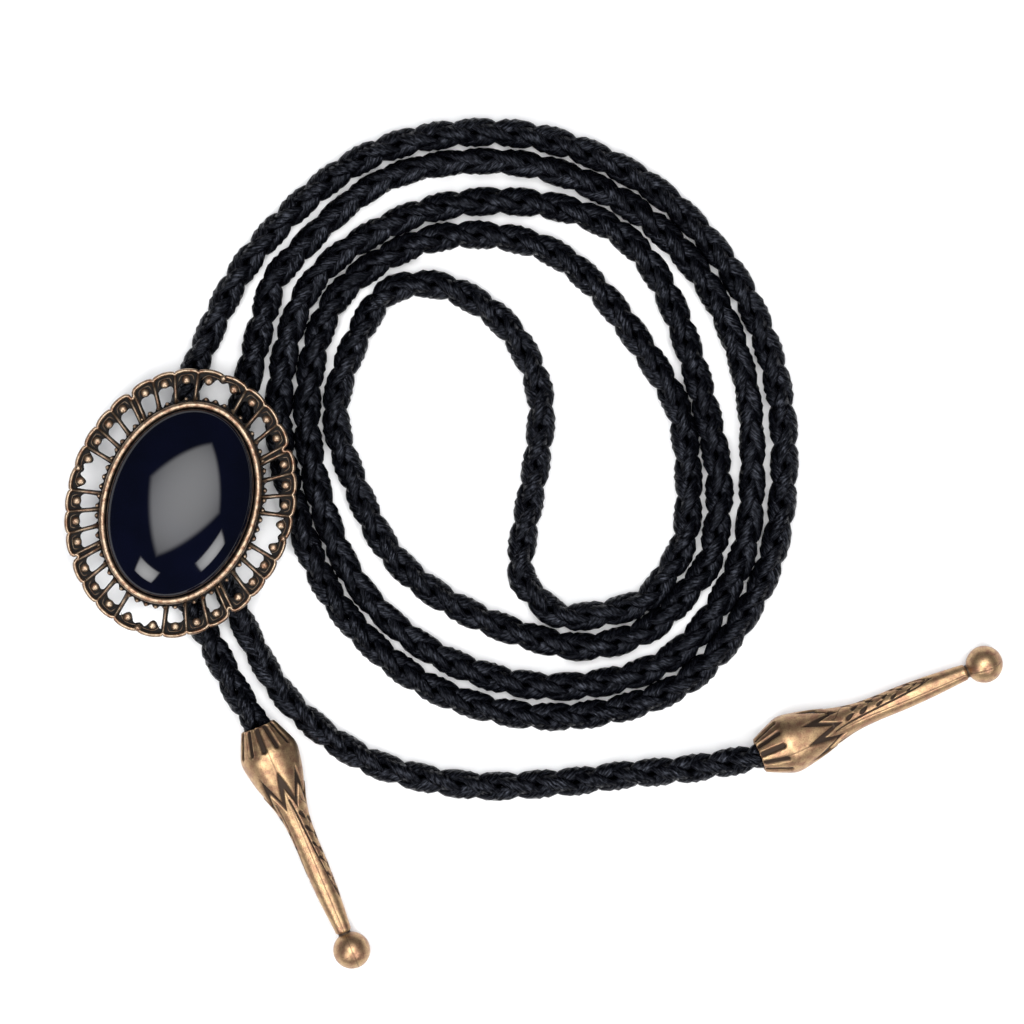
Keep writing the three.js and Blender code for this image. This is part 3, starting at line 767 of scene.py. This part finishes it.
def makeSlide():
    material = castBrassMaterial("antiqueBrassSlide", slideFinish)
    plate, rimHeight = border["plate"], border["rimHeight"]
    outline = []
    for low, high, notch in lobes:
        for share in (0, 0.2, 0.5, 0.8) if notch else [i / 9 for i in range(9)]:
            angle = low + share * (high - low)
            outline.append(polar(angle, rimRadius(angle) * border["ledgeShare"]))
    ledges = flatWork("ledges", outline, [opening(c) for c in cells], 0, plate, 0.1)

    # rim and walls stand above the ledges
    wireAt = (plate - border["wireSunk"] + rimHeight) / 2
    wireHalf = rimHeight - wireAt
    path = []
    for low, high, notch in lobes:
        for i in range(12):
            angle = low + i / 12 * (high - low)
            path.append((*polar(angle, rimRadius(angle) - border["rimWidth"] / 2), wireAt))
    rimWire = wireWork("rim", [path], border["rimWidth"] / 2, wireHalf, closed=True)
    walls = []
    for angle in {cell[end] for cell in cells for end in ("from", "to")}:
        start = ovalRadius(angle, bezelA, bezelB) - 0.2
        run = valleyRadius(angle) - border["rimWidth"] / 2 - start
        walls.append([(*polar(angle, start + t * run), wireAt) for t in (0, 0.02, 0.5, 0.98, 1)])
    walls = wireWork("walls", walls, border["wallWidth"] / 2, wireHalf)

    # a low step inside each cell, along the rim and round the bead
    steps = []
    for cell in cells:
        line, span = [], cell["to"] - cell["from"]
        for i in range(17):
            t = i / 16
            rim = rimRadius(cell["from"] + (0.1 + 0.8 * t) * span) - border["rimWidth"]
            rim -= border["stepFromRim"] + border["stepCorner"] * max(0, 1 - min(t, 1 - t) / 0.2) ** 2
            angle = betweenWalls(cell, t, rim, border["stepFromWall"])
            line.append((*polar(angle, rim), plate + border["stepLift"]))
        steps.append(line)
    steps = wireWork("steps", steps, border["stepWire"], border["stepWire"])

    beads = [spot for cell in cells for spot in beadSpots(cell)]
    rimBeads = [rimMiddle(cell, border["rimBeadInset"]) for cell in cells if cell["kind"] is largeCell]
    beadAt = plate + border["beadLift"]
    rimBeadAt = rimHeight - border["rimBeadSink"]
    mesh = fused("slideFrame", [
        (rimWire, 1.15, 1.55),
        (walls, 1.2, 1.7),
        (ledges, 1.3, 2.6),
        (steps, 0.9, 1.6),
        (bezelMesh(), 1.2, 2.4),
        (castBeads(beads, beadAt, border["beadRadius"], material, border["beadFlat"]), 1.1, 1.34),
        (castBeads(rimBeads, rimBeadAt, border["rimBeadRadius"], material), 1.55, 1.85),
        (castBeads(grains, plate + border["grainLift"], border["grainRadius"], material), 1.2, 1.38),
    ])
    made = piece("piercedSlide", mesh, material, slidePlace)
    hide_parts("slide_frame")
    print("slide", len(mesh.polygons), "faces")


# Tips, millimetres: a cast, hollow-mouthed cone that thins to a shank with a ball
tip = {
    "profile": (  # distance from the mouth, radius
        (0, 2.75), (1.2, 3.3), (2.8, 4), (4.1, 4.5), (4.8, 4.62), (5.6, 4.58), (7, 4.35), (8.8, 3.98),
        (10.8, 3.45), (13.4, 2.65), (16.2, 2.1), (19.5, 1.92), (24, 1.9), (28.2, 1.75), (32, 1.48),
        (34.3, 1.28), (34.7, 1.24), (34.95, 1.02), (35.2, 1.02), (35.4, 1.2),
    ),
    "ballAt": 38, "ballRadius": 2.9, "neckAt": 35.07, "neckRadius": 1.2,
    "socketRadius": 2.3, "socketDepth": 6.5,
    "step": 0.13, "columns": 180,
    "flutes": 12, "fluteFrom": 0.45, "fluteTo": 3.7, "fluteHalf": 0.52, "fluteDepth": 0.36,
    "chevrons": 8, "chevronFrom": 7.7, "chevronTo": 12.4, "chevronWide": 2.5, "chevronDepth": 0.34,
    "panelRise": 0.15, "panelDepth": 0.3,
    "panelHalf": ((12.3, 66), (15.5, 56), (19, 47), (24, 34), (27.5, 18), (29.4, 0)),  # distance, degrees
    "leaves": 6, "leafFirst": 13.9, "leafStep": 2.55,
    # share of the half panel, shift along, lean in degrees, half length and half width
    "leafShapes": ((-0.56, 0, 30, 1.1, 0.44), (0.06, 1.25, -26, 0.9, 0.36), (0.62, 0.1, -24, 0.95, 0.38)),
    "vineDepth": 0.14, "edgingDepth": 0.16,
    "partingAngle": -68, "partingDepth": 0.04,
}


def smoothStep(x, low, high):
    t = np.clip((x - low) / (high - low), 0, 1)
    return t * t * (3 - 2 * t)


# A smooth curve through a table of (position, value), read at each position
def alongTable(table, at):
    xs, ys = (np.array(column, float) for column in zip(*table))
    slopes = np.gradient(ys, xs)
    i = np.clip(np.searchsorted(xs, at) - 1, 0, len(xs) - 2)
    width = xs[i + 1] - xs[i]
    t = np.clip((at - xs[i]) / width, 0, 1)
    return ((2 * t**3 - 3 * t**2 + 1) * ys[i] + (t**3 - 2 * t**2 + t) * width * slopes[i]
            + (3 * t**2 - 2 * t**3) * ys[i + 1] + (t**3 - t**2) * width * slopes[i + 1])


# Degrees to the nearest of count marks set evenly round the tip
def fromNearest(angle, count, first=0.0):
    pitch = 360 / count
    return (angle - first + pitch / 2) % pitch - pitch / 2


# The parting line of the mould, 0 to 1
def partingSeam(angle, radius):
    off = np.radians(np.abs(fromNearest(angle, 2, tip["partingAngle"]))) * radius
    return 1 - smoothStep(off, 0.03, 0.14)


# Cut below the smooth surface in millimetres, and how dark the patina lies there, 0 to 1
def tipRelief(s, angle, radius):
    toArc = np.radians(1) * radius
    cut, dark = np.zeros_like(s), np.zeros_like(s)

    def carve(depth, mask):
        nonlocal cut, dark
        cut = np.maximum(cut, depth * mask)
        dark = np.maximum(dark, mask)

    across = fromNearest(angle, tip["flutes"], 15) * toArc
    beyond = np.maximum(0, np.maximum(tip["fluteFrom"] - s, s - tip["fluteTo"]))
    carve(tip["fluteDepth"], smoothStep(tip["fluteHalf"] - np.hypot(across, beyond), 0, 0.16))

    off = np.abs(fromNearest(angle, tip["chevrons"], tip["partingAngle"] + 1))
    share = off / (180 / tip["chevrons"])
    line = tip["chevronFrom"] + (tip["chevronTo"] - tip["chevronFrom"]) * share
    wide = tip["chevronWide"] * (1 - 0.45 * share)
    past = s - line
    carve(tip["chevronDepth"], smoothStep(past, -0.4, 0) * (1 - smoothStep(past, wide, wide + 0.4)))

    half = np.clip(alongTable(tip["panelHalf"], s), 0, 90)
    half = np.where((s < tip["panelHalf"][0][0]) | (s > tip["panelHalf"][-1][0]), 0, half)
    fromPanel = fromNearest(angle, 2)
    reach = half * toArc
    across = fromPanel * toArc
    inPanel = smoothStep(reach - np.abs(across), 0, 0.12) * (half > 0)
    edging = (1 - smoothStep(np.abs(reach - np.abs(across)), 0.08, 0.2)) * (half > 0)
    carve(tip["edgingDepth"], edging)
    stem = 0.42 * reach * np.sin((s - tip["leafFirst"]) * math.pi / tip["leafStep"])
    vine = (1 - smoothStep(np.abs(across - stem), 0.05, 0.17)) * inPanel
    carve(tip["vineDepth"], vine * 0.8)
    for k in range(tip["leaves"]):
        side = 1 if k % 2 else -1
        size = 1 - 0.1 * k
        at = tip["leafFirst"] + (k + 0.5) * tip["leafStep"]
        for where, shift, lean, length, width in tip["leafShapes"]:
            middle = side * where * reach
            turn = math.radians(side * lean)
            u = (s - at - shift) * math.cos(turn) + (across - middle) * math.sin(turn)
            v = -(s - at - shift) * math.sin(turn) + (across - middle) * math.cos(turn)
            taper = np.clip(1 - 0.45 * u / (length * size), 0.3, 1.6)
            blade = np.hypot(u / (length * size), v / (width * size * taper))
            carve(tip["panelDepth"], (1 - smoothStep(blade, 0.75, 1.05)) * inPanel)
    cut = cut - tip["panelRise"] * inPanel * (1 - edging)

    seam = partingSeam(angle, radius)
    cut = np.maximum(cut, tip["partingDepth"] * seam)
    dark = np.maximum(dark, 0.55 * seam)
    return cut, dark


# The casting lies along X from its mouth at 0, the middle of one scroll panel on top
def tipMesh():
    angles = np.linspace(0, 360, tip["columns"], endpoint=False)
    ballFrom = math.asin(tip["neckRadius"] / tip["ballRadius"])
    inner = [
        (tip["socketDepth"], tip["socketRadius"]), (0.4, tip["socketRadius"]), (0.08, 2.38), (0, 2.5),
        (0.03, 2.64),
    ]
    shank = np.arange(tip["step"], tip["profile"][-1][0], tip["step"])
    ball = []
    for i in range(1, 34):
        t = ballFrom + (math.pi - ballFrom) * i / 34
        ball.append((tip["ballAt"] - tip["ballRadius"] * math.cos(t), tip["ballRadius"] * math.sin(t)))
    rows, darkness = [], []
    for s, r in inner:
        rows.append((np.full(len(angles), s), np.full(len(angles), r)))
        darkness.append(np.full(len(angles), 0.9 if s > 0.2 else 0.1))
    for s in shank:
        at = np.full(len(angles), s)
        radius = alongTable(tip["profile"], at)
        cut, dark = tipRelief(at, angles, radius)
        groove = 1 - smoothStep(abs(s - tip["neckAt"]), 0.1, 0.3)
        rows.append((at, radius - cut))
        darkness.append(np.maximum(dark, groove))
    for s, r in ball:
        seam = partingSeam(angles, r)
        rows.append((np.full(len(angles), s), r - tip["partingDepth"] * seam))
        darkness.append(seam * 0.5)
    turns = np.radians(angles)
    loops = [[(s * mm, r * math.sin(t) * mm, r * math.cos(t) * mm) for s, r, t in zip(at, radius, turns)]
             for at, radius in rows]
    mesh = smoothed(ringMesh("tipCasting", loops))
    values = [1 - v for row in darkness for v in row] + [0.1, 1.0]
    mesh.attributes.new("worn", "FLOAT", "POINT").data.foreach_set("value", values)
    return mesh


def makeTips():
    casting = tipMesh()
    material = castBrassMaterial("antiqueBrassTips", tipFinish)
    for name in ("left", "right"):
        place = (
            Matrix.Translation(Vector((*tips[name]["mouth"], tips["mouthHeight"])) * mm)
            @ Matrix.Rotation(tips[name]["turn"], 4, "Z")
            @ Matrix.Rotation(tips["tilt"], 4, "Y")
            @ Matrix.Rotation(tips[name]["roll"], 4, "X")
        )
        made = piece(name + "Tip", casting.copy(), material, place)
        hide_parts("tip_" + name)
    print("tips", len(casting.polygons), "faces each")


makeStone()
makeSlide()
makeTips()


def makeFloor():
    half = 3.0
    mesh = bpy.data.meshes.new("floor")
    corners = [(-half, -half, 0), (half, -half, 0), (half, half, 0), (-half, half, 0)]
    mesh.from_pydata(corners, [], [(0, 1, 2, 3)])
    floor = linked("floor", mesh)
    # matt white paper: bright and even, no shine
    material, tree, shader = newMaterial("palePaper")
    feed(tree, shader, {"Base Color": (0.95, 0.95, 0.95, 1), "Roughness": 0.8, "Specular IOR Level": 0.1})
    mesh.materials.append(material)


# Metres from the middle of the tie, width and height in metres, watts. They show in the stone.
softboxes = {
    "overhead": {"at": (-0.02, 0.065, 1.3), "size": (1.1, 0.95), "power": 20},
    "lowLeft": {"at": (-0.58, -0.76, 1.0), "size": (0.5, 0.5), "power": 8},
    "lowRight": {"at": (0.62, -0.68, 1.0), "size": (0.52, 0.48), "power": 8},
}
room = {"colour": "#b4b9cc", "strength": 0.18}


# Softbox cloth: brightest in the middle, and soft towards its edges
def fadeOut(data):
    data.use_nodes = True
    tree = data.node_tree
    place = addNode(tree, "ShaderNodeSeparateXYZ",
                    {"Vector": addNode(tree, "ShaderNodeNewGeometry").outputs["Parametric"]})
    sides = []
    for axis in ("X", "Y"):
        off = addNode(tree, "ShaderNodeMath", {0: place.outputs[axis], 1: 0.5}, operation="SUBTRACT")
        sides.append(addNode(tree, "ShaderNodeMath", {0: off}, operation="ABSOLUTE"))
    outer = addNode(tree, "ShaderNodeMath", {0: sides[0], 1: sides[1]}, operation="MAXIMUM")
    edge = addNode(tree, "ShaderNodeMapRange", {"Value": outer, "From Min": 0.5, "From Max": 0.4},
                   interpolation_type="SMOOTHSTEP")
    squares = [addNode(tree, "ShaderNodeMath", {0: s, 1: s}, operation="MULTIPLY") for s in sides]
    spread = addNode(tree, "ShaderNodeMath", {0: squares[0], 1: squares[1]}, operation="ADD")
    middle = addNode(tree, "ShaderNodeMapRange",
                     {"Value": spread, "From Max": 0.4, "To Min": 1.5, "To Max": 0.6})
    strength = addNode(tree, "ShaderNodeMath", {0: edge, 1: middle}, operation="MULTIPLY")
    feed(tree, tree.nodes["Emission"], {"Strength": strength})


def makeLights():
    middle = Vector((*view["middle"], 0))
    for name, box in softboxes.items():
        data = bpy.data.lights.new(name, "AREA")
        data.shape = "RECTANGLE"
        data.size, data.size_y = box["size"]
        data.energy = box["power"]
        fadeOut(data)
        light = linked(name, data)
        light.location = middle + Vector(box["at"])
        light.rotation_euler = Vector(box["at"]).to_track_quat("Z", "Y").to_euler()
        light.visible_camera = False
    world = bpy.data.worlds.new("room")
    bpy.context.scene.world = world
    world.use_nodes = True
    feed(world.node_tree, world.node_tree.nodes["Background"],
         {"Color": linear(room["colour"]), "Strength": room["strength"]})


makeFloor()
makeLights()
print("floor and lights set")

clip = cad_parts["back_clip"].data
clip.materials.clear()
clip.materials.append(castBrassMaterial("plainBrassClip", clipFinish, even=True))

bpy.context.view_layer.update()
